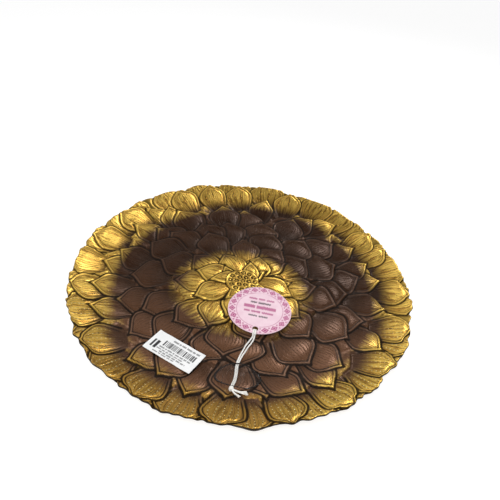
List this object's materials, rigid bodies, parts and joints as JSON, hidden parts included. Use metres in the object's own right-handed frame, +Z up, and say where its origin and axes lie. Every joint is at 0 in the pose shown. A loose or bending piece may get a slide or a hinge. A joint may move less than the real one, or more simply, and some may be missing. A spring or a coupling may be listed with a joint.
{
  "type": "tray",
  "caption": "Round shallow cast brass tray with overlapping lotus petals in relief and a wavy rim, carrying a paper price label and a round swing tag on a string.",
  "frame": {"origin": "centre of the flat base, on the surface that the tray stands on", "axes": "+Z up out of the tray; the string and the swing tag lie on the -Y side, which is the side nearest the viewer"},
  "size_m": [0.3009, 0.3013, 0.0199],
  "materials": {
    "antique_brass": "cast and lacquered, bright gold at the rim and the centre, dark brown patina in the well",
    "label_paper": "matt white self-adhesive paper",
    "tag_card": "smooth pale pink card",
    "cotton_string": "white twisted cotton",
    "clear_film": "clear glossy adhesive film"
  },
  "bodies": {
    "tray": {"tray_dish": "antique_brass", "price_label": "label_paper", "tag_string": "cotton_string", "string_knot": "cotton_string", "clear_seal": "clear_film"},
    "tag": {"swing_tag": "tag_card", "string_loop": "cotton_string"}
  },
  "joints": [
    {"name": "tag_flip", "type": "hinge", "parent": "tray", "child": "tag", "pos_m": [0.01359, -0.06274, 0.00692], "axis": [0.9925, -0.1219, 0], "range_deg": [0, 120]}
  ]
}
